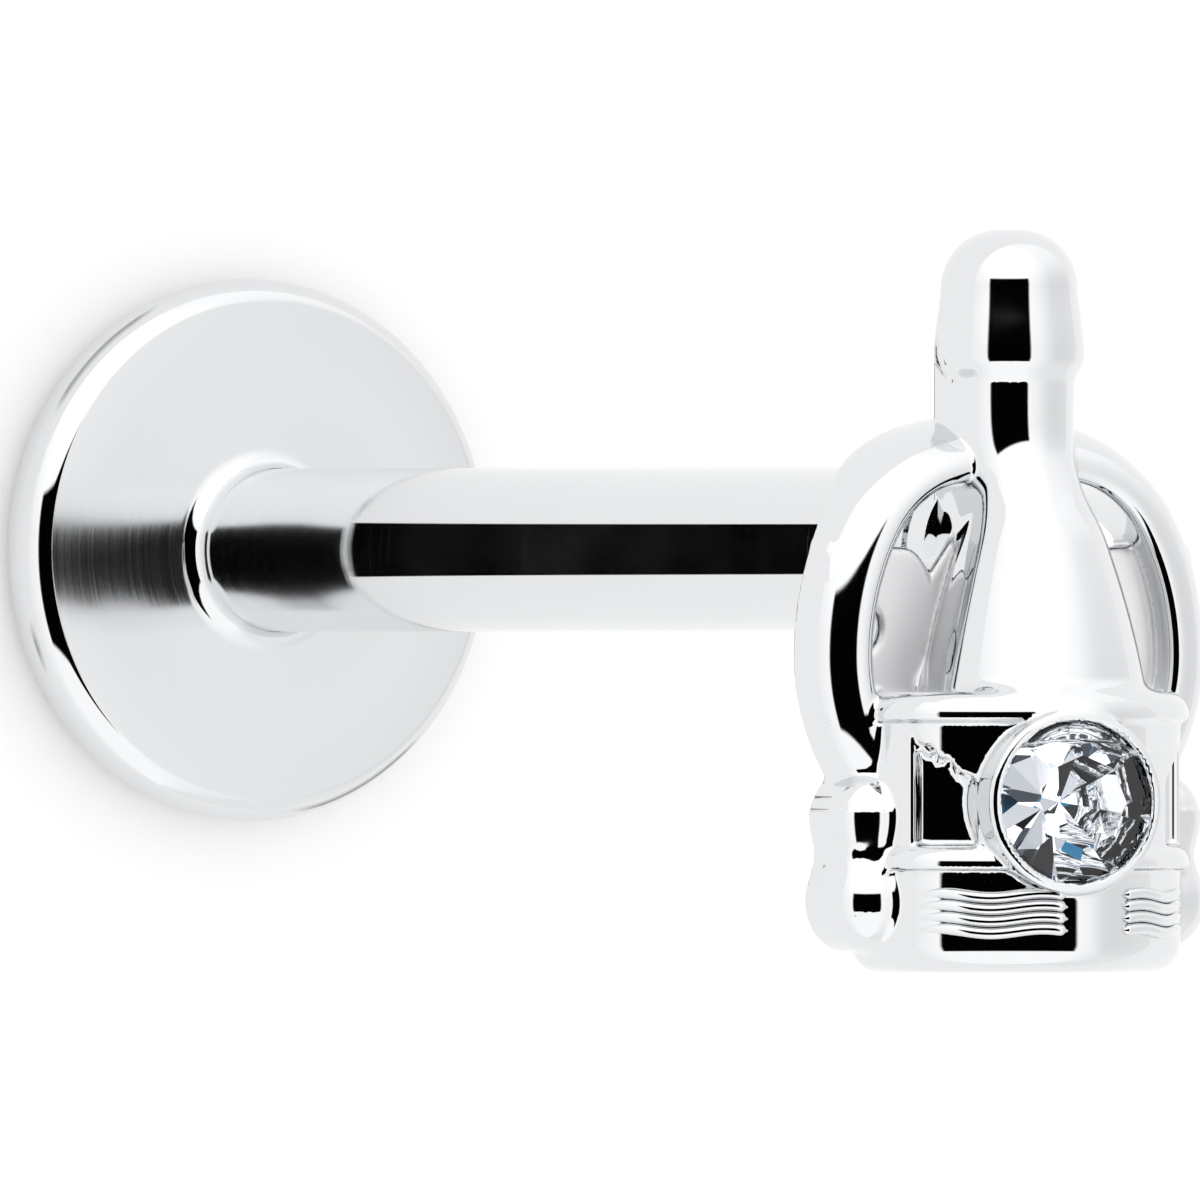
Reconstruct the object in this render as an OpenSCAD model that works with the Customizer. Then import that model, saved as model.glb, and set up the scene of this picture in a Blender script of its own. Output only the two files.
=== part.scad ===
// Labret stud: a flat disc back with a straight post, and a small cast charm of a bottle
// standing in a bucket, set with one round stone. The stud stands on its disc, with the
// post along +Z and its origin under the disc. The bottle's top points to -X.

/* [Disc and post] */
// Diameter of the flat disc
disc_d = 4; // [3.4:0.1:6]
// Thickness of the disc
disc_t = 0.55; // [0.45:0.05:1]
// How far each flat face stops short of the disc's edge, where the round begins
disc_edge = 0.16; // [0.1:0.01:0.2]
// Diameter of the post
post_d = 1.2; // [1.1:0.05:1.6]
// Wearable length, from the disc's face to the end of the post
post_len = 10; // [6:0.5:14]
// Radius of the fillet where the post meets the disc
post_fillet = 0.16; // [0.05:0.01:0.3]
// Chamfer around the open end of the post
post_chamfer = 0.04; // [0.02:0.01:0.08]

/* [Hidden pin] */
// Diameter of the pin that holds the charm in the post
pin_d = 0.8; // [0.6:0.05:0.9]
// Length of the pin
pin_len = 2.6; // [1.5:0.1:4]
// Room around the pin, on the radius
pin_clear = 0.02; // [0.01:0.005:0.05]
// Room in the bore past the tip of the pin
bore_spare = 0.3; // [0.1:0.1:1]
// Seam between the charm and the end of the post
seam = 0.02; // [0.01:0.01:0.05]
// Height of the round boss between the post and the charm's flat back
boss_h = 0.2; // [0.1:0.05:1]

/* [Bottle] */
// Height of the bottle's top above the post's axis
bottle_top = 2.3; // [2.1:0.05:3]
// Diameter of the neck
neck_d = 0.93; // [0.86:0.01:0.98]
// Depth of the neck's axis in front of the charm's flat back
neck_depth = 0.245; // [0.2:0.005:0.3]
// Width of the neck at the charm's flat back
neck_back_w = 0.98; // [0.96:0.01:1.04]
// Height at which the neck ends behind the body, above the post's axis
neck_foot = -0.02; // [-0.2:0.01:0.2]
// Diameter of the wrapped cap at its foot
cap_d = 1.09; // [1.06:0.01:1.2]
// Length of the cap, from the bottle's top to the neck
cap_len = 1.08; // [0.9:0.02:1.1]
// Radius of the hollow curve under the cap
cap_foot_r = 0.13; // [0.08:0.01:0.16]
// Diameter at the waist, where the body rises out of the neck
waist_d = 0.8; // [0.74:0.01:0.84]
// Diameter of the body where it goes into the bucket
body_d = 1.63; // [1.5:0.01:1.7]
// Depth of the body's axis in front of the charm's flat back
body_depth = 0.57; // [0.4:0.01:0.62]
// Radius of the arc that the shoulders follow
shoulder_r = 6; // [5:0.25:9]

/* [Bail] */
// Height of the bail's top above the post's axis
bail_top = 0.975; // [0.9:0.005:1.1]
// Outer radius of the bail over the bottle's neck
bail_crown_r = 2.6; // [2:0.1:3.2]
// Outer radius of the bail at its shoulders
bail_shoulder_r = 1.18; // [1:0.02:1.3]
// Outer radius of the bail along its sides
bail_side_r = 2.2; // [2:0.05:2.5]
// Outer radius of the bail below its widest place
bail_foot_r = 1.6; // [1.3:0.05:1.8]
// Width of the bail's band, seen from the front
band_w = 0.445; // [0.38:0.005:0.5]
// Thickness of the band, from its front to its back
band_t = 0.44; // [0.3:0.01:0.46]
// Small radius along the band's inner front edge
band_edge = 0.09; // [0.04:0.005:0.12]
// Depth of the band's back in front of the charm's flat back
band_back = 0.02; // [0.02:0.01:0.1]
// Room between the top of the bail, which reaches back, and the end of the post
crown_gap = 0.04; // [0.04:0.01:0.2]
// Thickness of the web that fills the bail behind the bottle
web_t = 0.26; // [0.15:0.01:0.35]
// Height of the web's top at the bail, above the post's axis
web_top = 0.03; // [-0.1:0.01:0.1]
// Distance of the two notches in the web's top from the bottle's axis
notch_out = 0.66; // [0.6:0.01:0.75]
// Distance of the lowest point of the notches below the post's axis
notch_low = 0.16; // [0.05:0.01:0.3]

/* [Bucket] */
// Diameter of the bucket's wall
bucket_d = 2.4; // [2.3:0.02:2.6]
// Depth of the bucket's axis in front of the charm's flat back
bucket_depth = 0.25; // [0.15:0.01:0.4]
// Distance of the rim's top below the post's axis
rim_drop = 1.02; // [0.9:0.01:1.1]
// Height of the bucket
bucket_h = 2.02; // [1.95:0.01:2.2]
// Height of the rim band
rim_h = 0.22; // [0.16:0.01:0.26]
// How far the rim band and the belt stand out of the wall
rim_out = 0.06; // [0.03:0.01:0.08]
// Depth of the mouth inside the rim, around the bottle
mouth_depth = 0.1; // [0.05:0.01:0.2]
// Distance of the belt's middle below the rim's top
belt_drop = 1.2; // [1.15:0.01:1.25]
// Height of the belt
belt_h = 0.13; // [0.1:0.01:0.18]
// Radius of the round along the bottom edge
foot_r = 0.4; // [0.2:0.01:0.45]
// Depth of the two side windows
window_depth = 0.13; // [0.05:0.01:0.2]
// Height of the windows
window_h = 0.62; // [0.5:0.01:0.68]
// Width of the windows, as an angle around the bucket
window_span = 22; // [15:1:24]
// Number of ribs on the lower wall
rib_count = 4; // [2:1:5]
// Spacing of the ribs
rib_pitch = 0.085; // [0.07:0.005:0.095]
// Radius of each rib
rib_r = 0.045; // [0.03:0.005:0.06]

/* [Side handles] */
// Diameter of the upper bump of each side handle
handle_top_d = 0.63; // [0.56:0.01:0.7]
// Diameter of the lower bump of each side handle
handle_low_d = 0.71; // [0.62:0.01:0.76]
// Distance between the two bumps of a handle
handle_pitch = 0.62; // [0.5:0.01:0.65]
// Distance of the handle's axis from the bottle's axis
handle_out = 1.217; // [1.15:0.01:1.25]
// Depth of the handle's axis in front of the charm's flat back
handle_depth = 0.28; // [0.15:0.01:0.4]

/* [Stone] */
// Diameter of the stone
stone_d = 1.2; // [1:0.05:1.3]
// Height of the crown above the girdle
crown_h = 0.17; // [0.12:0.01:0.2]
// Width of the flat table, as a share of the diameter
table_share = 0.56; // [0.5:0.01:0.6]
// Depth of the pavilion below the girdle
pavilion_h = 0.5; // [0.42:0.01:0.54]
// Angle by which the stone is turned around the bucket
stone_turn = 9; // [0:1:12]
// Distance of the stone's centre below the rim's top
stone_drop = 0.795; // [0.75:0.005:0.85]
// Room around the stone in its seat
stone_gap = 0.015; // [0.01:0.005:0.03]
// Thickness of the bezel around the stone
bezel_t = 0.05; // [0.04:0.01:0.1]
// How far the bezel stands out of the bucket's wall
bezel_out = 0.08; // [0.06:0.01:0.2]

/* [Hidden] */
$fn = 96;
eps = 0.01;
far = 10;

post_r = post_d / 2;
bore_len = pin_len + seam + bore_spare;

// Depths are taken from the back of the boss, along the post
neck_z = boss_h + neck_depth;
body_z = boss_h + body_depth;
bucket_z = boss_h + bucket_depth;
handle_z = boss_h + handle_depth;

// Heights are taken from the post's axis, up the bottle
cap_y = bottle_top - cap_len;
rim_y = -rim_drop;
foot_y = rim_y - bucket_h;
belt_y = rim_y - belt_drop;
stone_y = rim_y - stone_drop;

wall_r = bucket_d / 2;
lip_r = wall_r + rim_out;

// The bail's outer edge is four arcs that run smoothly into each other
crown_turn = 15;
shoulder_turn = 60;
foot_turn = 138;
shoulder_x = (bail_crown_r - bail_shoulder_r) * sin(crown_turn);
shoulder_y = bail_top - bail_crown_r + (bail_crown_r - bail_shoulder_r) * cos(crown_turn);
side_x = shoulder_x + (bail_shoulder_r - bail_side_r) * sin(shoulder_turn);
side_y = shoulder_y + (bail_shoulder_r - bail_side_r) * cos(shoulder_turn);
crown_reach = boss_h + band_back + seam - crown_gap;

stone_r = stone_d / 2;
girdle_h = 0.04;
table_r = stone_r * table_share;
bezel_r = stone_r + stone_gap + bezel_t;
// Distance of the girdle from the bucket's axis
girdle_out = wall_r + bezel_out - crown_h / 2;

module disc_and_post() {
    color("silver")
    difference() {
        rotate_extrude() disc_and_post_profile();
        translate([0, 0, disc_t + post_len - bore_len])
            cylinder(r = pin_d / 2 + pin_clear, h = bore_len + 1);
    }
}

// Half section of the disc with its rounded edge, the fillet and the post
module disc_and_post_profile() {
    end_z = disc_t + post_len;
    edge_r = (pow(disc_t / 2, 2) + pow(disc_edge, 2)) / (2 * disc_edge);
    edge_x = disc_d / 2 - edge_r;
    square([edge_x, disc_t]);
    intersection() {
        translate([edge_x, disc_t / 2]) circle(r = edge_r);
        square([disc_d, disc_t]);
    }
    difference() {
        translate([0, disc_t - eps]) square([post_r + post_fillet, post_fillet + eps]);
        translate([post_r + post_fillet, disc_t + post_fillet]) circle(r = post_fillet);
    }
    polygon([
        [0, 0],
        [post_r, 0],
        [post_r, end_z - post_chamfer],
        [post_r - post_chamfer, end_z],
        [0, end_z]
    ]);
}

// Stands what is drawn around Z up along the bottle, at a given depth
module upright(z) {
    translate([0, 0, z]) rotate([-90, 0, 0]) children();
}

// The charm is drawn with the bottle's top to +Y and its front to +Z
module bottle_charm() {
    color("silver")
    translate([0, 0, disc_t + post_len + seam]) rotate([0, 0, 90]) {
        pin_and_boss();
        difference() {
            union() {
                bucket();
                bottle();
                web();
                handles();
                bezel();
            }
            flat_back();
            stone_seat();
        }
        bail();
    }
}

// The boss runs a little way into the bottle
module pin_and_boss() {
    cylinder(r = post_r, h = boss_h + 0.05);
    translate([0, 0, -pin_len - seam]) cylinder(r = pin_d / 2, h = pin_len + seam + eps);
}

// Everything behind the charm's flat back
module flat_back() {
    translate([-far, -far, boss_h - far]) cube([2 * far, 2 * far, far]);
}

module bottle() {
    upright(neck_z) rotate_extrude() neck_profile();
    neck_back();
    bottle_body();
}

// Half section of the neck and the wrapped cap, with the hollow curve under the cap
module neck_profile() {
    dome_r = 0.39 * cap_d;
    dome_x = 0.065 * cap_d;
    foot_round = 0.1;
    difference() {
        union() {
            polygon([
                [0, cap_y],
                [cap_d / 2 - 0.01, cap_y],
                [cap_d / 2, cap_y + 0.25],
                [dome_x + dome_r, bottle_top - dome_r],
                [0, bottle_top - dome_r]
            ]);
            intersection() {
                translate([dome_x, bottle_top - dome_r]) circle(r = dome_r);
                translate([0, cap_y]) square([cap_d, far]);
            }
            translate([0, bottle_top - dome_r]) square([dome_x, dome_r]);
            translate([0, neck_foot + foot_round])
                square([neck_d / 2, cap_y - neck_foot - foot_round + eps]);
            translate([0, neck_foot]) square([neck_d / 2 - foot_round, foot_round + eps]);
            translate([neck_d / 2 - foot_round, neck_foot + foot_round]) circle(r = foot_round);
        }
        translate([neck_d / 2 + cap_foot_r, cap_y]) circle(r = cap_foot_r);
    }
}

// The neck widens a little towards the charm's flat back
module neck_back() {
    front_x = neck_d / 2 - 0.02;
    back_x = neck_back_w / 2;
    translate([0, neck_foot + 0.05, boss_h]) rotate([-90, 0, 0])
        linear_extrude(cap_y + 0.1 - neck_foot)
        polygon([
            [-back_x, 0],
            [back_x, 0],
            [front_x, -neck_depth],
            [-front_x, -neck_depth]
        ]);
}

// The body is a stack of round sections that move forward and widen from the neck down
module bottle_body() {
    sides = 48;
    high_y = cap_y - 0.08;
    low_y = rim_y - 0.5;
    count = 28;
    heights = [for (i = [0 : count]) low_y + (high_y - low_y) * i / count];
    points = [for (y = heights) for (j = [0 : sides - 1])
        let (r = body_radius(y), turn = 360 * j / sides)
        [r * cos(turn), y, boss_h + body_axis(y) + r * sin(turn)]];
    walls = [for (i = [0 : count - 1]) for (j = [0 : sides - 1])
        [i * sides + j, i * sides + (j + 1) % sides, (i + 1) * sides + (j + 1) % sides,
            (i + 1) * sides + j]];
    foot = [for (j = [0 : sides - 1]) sides - 1 - j];
    top = [for (j = [0 : sides - 1]) count * sides + j];
    polyhedron(points, concat(walls, [foot, top]), convexity = 4);
}

function smooth(t) =
    let (u = min(max(t, 0), 1))
    u * u * (3 - 2 * u);

// Depth of the body's axis at a height, in front of the charm's flat back
function body_axis(y) =
    neck_depth + (body_depth - neck_depth) * smooth((cap_y - 0.07 - y) / 1);

// Radius of the body at a height: its long shoulder arc, eased into the waist
function body_radius(y) =
    let (
        arc_y = rim_y - 1,
        reach = min(abs(y - arc_y), shoulder_r),
        arc = body_d / 2 - sqrt(pow(shoulder_r, 2) - 1) + sqrt(pow(shoulder_r, 2) - pow(reach, 2)),
        waist = waist_d / 2 + (neck_d - waist_d) / 3 * smooth((y - cap_y + 0.6) / 0.5)
    )
    (arc + waist + sqrt(pow(arc - waist, 2) + 0.0016)) / 2;

// The bail is one band, swept along its arcs from one side of the bucket to the other
module bail() {
    turns = bail_turns();
    n = len(band_section(0));
    m = len(turns);
    points = [for (a = turns) for (p = band_section(bail_reach(a))) bail_point(a, p)];
    sides = [for (i = [0 : m - 2]) for (j = [0 : n - 1])
        [i * n + j, i * n + (j + 1) % n, (i + 1) * n + (j + 1) % n, (i + 1) * n + j]];
    first = [for (j = [0 : n - 1]) n - 1 - j];
    last = [for (j = [0 : n - 1]) (m - 1) * n + j];
    polyhedron(points, concat(sides, [first, last]), convexity = 6);
}

// Angles from the bail's top at which the band gets a section
function bail_turns() = concat(
    [for (a = [-foot_turn : 6 : -shoulder_turn]) a],
    [for (a = [-shoulder_turn + 5 : 5 : shoulder_turn - 5]) a],
    [for (a = [shoulder_turn : 6 : foot_turn]) a]
);

function bail_radius(a) =
    abs(a) <= crown_turn ? bail_crown_r :
    abs(a) <= shoulder_turn ? bail_shoulder_r :
    abs(a) <= 90 ? bail_side_r : bail_foot_r;

function bail_centre(a) =
    abs(a) <= crown_turn ? [0, bail_top - bail_crown_r] :
    abs(a) <= shoulder_turn ? [sign(a) * shoulder_x, shoulder_y] :
    abs(a) <= 90 ? [sign(a) * side_x, side_y] :
    [sign(a) * (side_x + bail_side_r - bail_foot_r), side_y];

// How far the band reaches back at an angle: most over the neck, nothing along the sides
function bail_reach(a) = crown_reach * (1 - smooth((abs(a) - 35) / 37));

// Place of a point of the section, given from the band's inner edge and its back
function bail_point(a, p) =
    let (c = bail_centre(a), r = bail_radius(a) - band_w + p[0])
    [c[0] + r * sin(a), c[1] + r * cos(a), boss_h + band_back + p[1]];

// Section of the band, with a small round inside and a wide one outside, at its front
function band_section(reach) =
    let (
        round_w = band_w - band_edge,
        round_t = band_t - 0.02 + reach
    )
    concat(
        [[0, -reach]],
        [for (t = [180 : -30 : 90]) [band_edge, band_t - band_edge] + band_edge * [cos(t), sin(t)]],
        [for (t = [90 : -15 : 0]) [band_w + round_w * (cos(t) - 1), band_t + round_t * (sin(t) - 1)]],
        [[band_w, -reach]]
    );

// The web fills the bail behind the bottle, with a notch at each side of the neck
module web() {
    inner_r = bail_side_r - band_w + 0.1;
    hole_x = 1.29;
    hole_y = -0.56;
    hole_r = 0.2;
    translate([0, 0, boss_h])
    linear_extrude(web_t)
    difference() {
        intersection() {
            translate([side_x, side_y]) circle(r = inner_r);
            translate([-side_x, side_y]) circle(r = inner_r);
            translate([-far / 2, rim_y - 0.5]) square([far, web_top + 0.25 - rim_y + 0.5]);
        }
        for (side = [-1, 1]) {
            notch(side);
            translate([side * hole_x, hole_y]) circle(r = hole_r);
        }
    }
}

// A notch is steep on the bail's side and rises behind the bottle on the other
module notch(side) {
    polygon([
        [side * notch_out, -notch_low],
        [side * (notch_out - 0.3), web_top + 0.22],
        [side * (notch_out - 0.3), far],
        [side * far, far],
        [side * far, web_top],
        [side * (notch_out + 0.16), web_top - 0.01],
        [side * (notch_out + 0.06), -notch_low + 0.11]
    ]);
}

module bucket() {
    difference() {
        upright(bucket_z) rotate_extrude() bucket_profile();
        upright(bucket_z) translate([0, 0, rim_y - mouth_depth])
            cylinder(r = wall_r - rim_h / 2, h = 1);
        windows();
    }
    ribs();
}

// Half section of the bucket with its rim band, belt and foot
module bucket_profile() {
    rim_r = rim_h / 2;
    translate([0, foot_y + foot_r]) square([wall_r, bucket_h - foot_r - rim_r]);
    translate([0, foot_y]) square([wall_r - foot_r, foot_r + eps]);
    translate([wall_r - foot_r, foot_y + foot_r]) circle(r = foot_r);
    translate([0, rim_y - rim_h]) square([lip_r - rim_r, rim_h]);
    translate([lip_r - rim_r, rim_y - rim_r]) circle(r = rim_r);
    translate([lip_r - belt_h / 2, belt_y]) circle(d = belt_h);
    translate([wall_r - belt_h, belt_y - belt_h / 2])
        square([belt_h / 2 + rim_out, belt_h]);
}

// Part of a ring around the bucket, between two angles from the front
module wall_ring(from, to) {
    upright(bucket_z) rotate([0, 0, from - 90]) rotate_extrude(angle = to - from) children();
}

module windows() {
    window_turn = 54;
    window_y = belt_y + belt_h / 2 + 0.03 + window_h / 2;
    for (side = [-1, 1])
        wall_ring(side * window_turn - window_span / 2, side * window_turn + window_span / 2)
            translate([wall_r - window_depth, window_y - window_h / 2])
            square([1, window_h]);
}

module ribs() {
    first_y = belt_y - belt_h / 2 - 0.2;
    for (side = [-1, 1])
        for (i = [0 : rib_count - 1])
            wall_ring(side * 38 - 27, side * 38 + 27)
                translate([wall_r - 0.01, first_y - i * rib_pitch])
                circle(r = rib_r);
}

// Each handle has two round bumps, joined by a waist and carried back to the flat back
module handles() {
    low_y = rim_y - 1.52;
    waist_r = handle_top_d / 2 - 0.03;
    for (side = [-1, 1])
        translate([side * handle_out, low_y, 0]) {
            bump(handle_low_d / 2);
            translate([0, handle_pitch, 0]) bump(handle_top_d / 2);
            upright(handle_z) cylinder(r = waist_r, h = handle_pitch);
            translate([-waist_r, 0, 0]) cube([2 * waist_r, handle_pitch, handle_z]);
        }
}

module bump(r) {
    translate([0, 0, handle_z]) sphere(r = r);
    cylinder(r = r, h = handle_z);
}

// Places what is drawn around Z in front of the bucket's axis, where the stone is
module at_stone(r) {
    translate([0, stone_y, bucket_z]) rotate([0, -stone_turn, 0]) translate([0, 0, r]) children();
}

module bezel() {
    at_stone(0) cylinder(r = bezel_r, h = wall_r + bezel_out);
}

// Room for the stone, closing a little over the edge of its crown
module stone_seat() {
    room = stone_gap * 2;
    at_stone(girdle_out)
        rotate_extrude()
        polygon([
            [0, -pavilion_h - girdle_h / 2 - room],
            [stone_r + stone_gap, -girdle_h / 2 - stone_gap],
            [stone_r + stone_gap, girdle_h / 2 + stone_gap],
            [stone_r - stone_gap, girdle_h / 2 + room + stone_gap],
            [stone_r - stone_gap, far],
            [0, far]
        ]);
}

// A brilliant, with its table to the front: a table, stars and kites above the girdle
module stone() {
    color("white")
    translate([0, 0, disc_t + post_len + seam]) rotate([0, 0, 90])
        at_stone(girdle_out)
        polyhedron(stone_points(), stone_faces());
}

function at_turn(turn, r, z) = [r * cos(turn), r * sin(turn), z];

// The star and pavilion corners lie in the planes of the kites beside them
function stone_points() =
    let (
        up = girdle_h / 2,
        star_r = (table_r + stone_r) / 2,
        star_z = crown_h * (stone_r - star_r * cos(22.5)) / (stone_r - table_r),
        low_r = stone_r * 0.25,
        low_z = pavilion_h * (1 - low_r * cos(22.5) / stone_r)
    )
    concat(
        [for (i = [0 : 7]) at_turn(45 * i, table_r, up + crown_h)],
        [for (i = [0 : 7]) at_turn(45 * i + 22.5, star_r, up + star_z)],
        [for (i = [0 : 15]) at_turn(22.5 * i, stone_r, up)],
        [for (i = [0 : 15]) at_turn(22.5 * i, stone_r, -up)],
        [for (i = [0 : 7]) at_turn(45 * i + 22.5, low_r, -up - low_z)],
        [[0, 0, -up - pavilion_h]]
    );

// Corner numbers: table 0, stars 8, girdle 16 and 32, pavilion 48, culet 56
function stone_faces() = concat(
    [[7, 6, 5, 4, 3, 2, 1, 0]],
    [for (i = [0 : 7]) [i, (i + 1) % 8, 8 + i]],
    [for (i = [0 : 7]) [i, 8 + i, 16 + 2 * i, 8 + (i + 7) % 8]],
    [for (i = [0 : 15]) [8 + floor(i / 2), 16 + (i + 1) % 16, 16 + i]],
    [for (i = [0 : 15]) [16 + i, 16 + (i + 1) % 16, 32 + (i + 1) % 16, 32 + i]],
    [for (i = [0 : 15]) [48 + floor(i / 2), 32 + i, 32 + (i + 1) % 16]],
    [for (i = [0 : 7]) [56, 48 + (i + 7) % 8, 32 + 2 * i, 48 + i]]
);

disc_and_post();
bottle_charm();
stone();
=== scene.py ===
import math

import bmesh
import bpy
import numpy as np
from mathutils import Matrix, Vector


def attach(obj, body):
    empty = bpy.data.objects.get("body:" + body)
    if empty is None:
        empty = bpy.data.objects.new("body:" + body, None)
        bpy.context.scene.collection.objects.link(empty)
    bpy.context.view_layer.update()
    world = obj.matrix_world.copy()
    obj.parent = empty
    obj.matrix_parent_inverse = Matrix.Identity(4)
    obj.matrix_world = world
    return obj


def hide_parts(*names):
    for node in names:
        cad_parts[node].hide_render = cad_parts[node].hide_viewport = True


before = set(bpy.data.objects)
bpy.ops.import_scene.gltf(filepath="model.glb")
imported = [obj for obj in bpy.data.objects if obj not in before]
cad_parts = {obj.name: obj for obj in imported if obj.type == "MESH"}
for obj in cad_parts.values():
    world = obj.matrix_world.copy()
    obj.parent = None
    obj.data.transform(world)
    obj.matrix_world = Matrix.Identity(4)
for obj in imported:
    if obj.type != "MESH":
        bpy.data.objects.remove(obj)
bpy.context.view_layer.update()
print("frame loaded:", ", ".join(sorted(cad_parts)))

mm = 0.001

# The charm is worked out in mm: x across it, y up the bottle, z forward from its flat back.
charmBack = 10.77  # height of the charm's flat back above the floor, in mm


def toRow(points):  # from the charm's mm to the part's own frame in metres
    p = np.asarray(points, float)
    return np.stack([-p[:, 1], p[:, 0], p[:, 2] + charmBack], axis=1) * mm


def makeMesh(name, points, faces, normals=None):
    mesh = bpy.data.meshes.new(name)
    mesh.from_pydata(points.tolist(), [], faces.tolist())
    mesh.polygons.foreach_set("use_smooth", np.ones(len(mesh.polygons), bool))
    mesh.update()
    if normals is not None:
        mesh.normals_split_custom_set_from_vertices(normals.tolist())
    thing = bpy.data.objects.new(name, mesh)
    bpy.context.scene.collection.objects.link(thing)
    return thing


# Solids are distances in mm, below zero inside, so that their edges can be blended softly.
def join(a, b, k):  # union with a fillet of about k
    h = np.maximum(k - np.abs(a - b), 0) / k
    return np.minimum(a, b) - h * h * k / 4


def meet(a, b, k):  # intersection with a rounded edge
    return -join(-a, -b, k)


def cut(a, b, k):  # a without b
    return -join(-a, b, k)


def ease(t):
    u = np.clip(t, 0, 1)
    return u * u * (3 - 2 * u)


def ellipse(u, v, a, b):
    near = np.sqrt((u / a) ** 2 + (v / b) ** 2) + 1e-9
    steep = np.sqrt((u / a**2) ** 2 + (v / b**2) ** 2) + 1e-9
    return near * (near - 1) / steep


bottle = {
    "top": 2.3, "capFoot": 1.22, "capWide": 0.545, "capNarrow": 0.496,
    "neck": 0.465, "neckDepth": 0.245, "neckBack": 0.49, "neckFoot": -0.02,
    "waist": 0.4, "body": 0.815, "bodyDepth": 0.57, "shoulder": 6.0,
    "dome": 0.425, "capShelf": 0.0805, "sunk": 0.38,
}


def bodyAxis(y):  # the body stands further forward than the neck
    forward = bottle["bodyDepth"] - bottle["neckDepth"]
    return bottle["neckDepth"] + forward * ease(bottle["capFoot"] - 0.16 - y)


# One wide arc makes the body and its shoulders, and runs softly into the narrow neck.
def bodyRadius(y):
    s = bottle["shoulder"]
    reach = np.minimum(np.abs(y - bucket["rim"] + 1), s)
    arc = bottle["body"] - math.sqrt(s * s - 1) + np.sqrt(s * s - reach**2)
    wider = (bottle["neck"] - bottle["waist"]) * 0.667
    waist = bottle["waist"] + wider * ease((y - bottle["capFoot"] + 0.6) / 0.5)
    return (arc + waist + np.sqrt((arc - waist) ** 2 + 0.0016)) / 2


def bottleSolid(x, y, z):
    b = bottle
    r = np.hypot(x, z - b["neckDepth"])
    neck = r - b["neck"]
    flank = np.abs(x) - b["neckBack"] + z * (b["neckBack"] - b["neck"] + 0.02) / b["neckDepth"]
    neck = join(neck, np.maximum(flank, z - b["neckDepth"]), 0.03)
    neck = meet(neck, b["neckFoot"] - y, 0.1)
    neck = np.maximum(neck, y - b["capFoot"] - 0.2)
    body = np.hypot(x, z - bodyAxis(y)) - bodyRadius(y)
    body = np.maximum(body, y - b["capFoot"] + 0.06)
    solid = join(neck, body, 0.05)
    # the wrapped cap: a dome, a taper down from it and a soft shelf at its foot
    dome = b["dome"]
    inner = b["capNarrow"] - dome
    above = np.maximum(y - b["top"] + dome, 0)
    down = (b["top"] - dome - y) / 0.42
    taper = (b["capWide"] - b["capNarrow"]) * (0.6 * np.clip(down, 0, 1) + 0.4 * ease(down))
    shelf = b["capShelf"] * (1 - ease((y - b["capFoot"] + 0.06) / 0.22))
    cap = np.hypot(np.maximum(r - inner, 0), above) - dome - taper + shelf
    cap = np.maximum(cap, b["capFoot"] - 0.3 - y)
    solid = np.minimum(solid, cap)
    solid = meet(solid, -z, 0.02)
    return np.maximum(solid, bucket["rim"] - b["sunk"] - y)


bail = {
    "top": 0.975, "crown": 2.6, "shoulder": 1.18, "side": 2.2, "foot": 1.6,
    "crownTurn": 15, "shoulderTurn": 60, "endTurn": 138,
    "width": 0.445, "depth": 0.44, "edge": 0.09, "back": 0.02, "reach": 0.2,
}


# The bail's outer edge is four arcs that run into each other: crown, shoulder, side and foot.
def bailSolid(x, y, z):
    b = bail
    ax = np.abs(x)
    turn1, turn2 = math.radians(b["crownTurn"]), math.radians(b["shoulderTurn"])
    cy = b["top"] - b["crown"]
    sx = (b["crown"] - b["shoulder"]) * math.sin(turn1)
    sy = cy + (b["crown"] - b["shoulder"]) * math.cos(turn1)
    wx = sx + (b["shoulder"] - b["side"]) * math.sin(turn2)
    wy = sy + (b["shoulder"] - b["side"]) * math.cos(turn2)
    fx = wx + b["side"] - b["foot"]
    a0 = np.arctan2(ax, y - cy)
    a1 = np.arctan2(ax - sx, y - sy)
    a2 = np.arctan2(ax - wx, y - wy)
    a3 = np.mod(np.arctan2(ax - fx, y - wy), 2 * math.pi)
    crown, shoulder = a0 <= turn1, (a1 <= turn2) & (a1 > -2)
    side = a2 <= math.pi / 2
    angle = np.where(crown, a0, np.where(shoulder, a1, np.where(side, a2, a3)))
    out = np.where(side, np.hypot(ax - wx, y - wy) - b["side"], np.hypot(ax - fx, y - wy) - b["foot"])
    out = np.where(shoulder, np.hypot(ax - sx, y - sy) - b["shoulder"], out)
    out = np.where(crown, np.hypot(ax, y - cy) - b["crown"], out)
    u = out + b["width"]
    p = z - b["back"]
    # behind the neck the back is drawn further back, and that fades out down the sides
    reach = b["reach"] * (1 - ease((np.degrees(angle) - 35) / 37))
    edge = b["edge"]
    inside = np.hypot(np.maximum(edge - u, 0), np.maximum(p - b["depth"] + edge, 0)) - edge
    outside = ellipse(u - edge, p - 0.02 + reach, b["width"] - edge, b["depth"] - 0.02 + reach)
    inside = np.where(p < b["depth"] - edge, -u, inside)
    band = np.where(u < edge, inside, outside)
    band = meet(band, -reach - p, 0.03)
    return np.maximum(band, (np.degrees(angle) - b["endTurn"]) * 0.02)


web = {
    "depth": 0.26, "top": 0.03, "out": 1.5, "notch": 0.66, "low": -0.16,
    "holeX": 1.29, "holeY": -0.56, "hole": 0.2,
}


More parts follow.
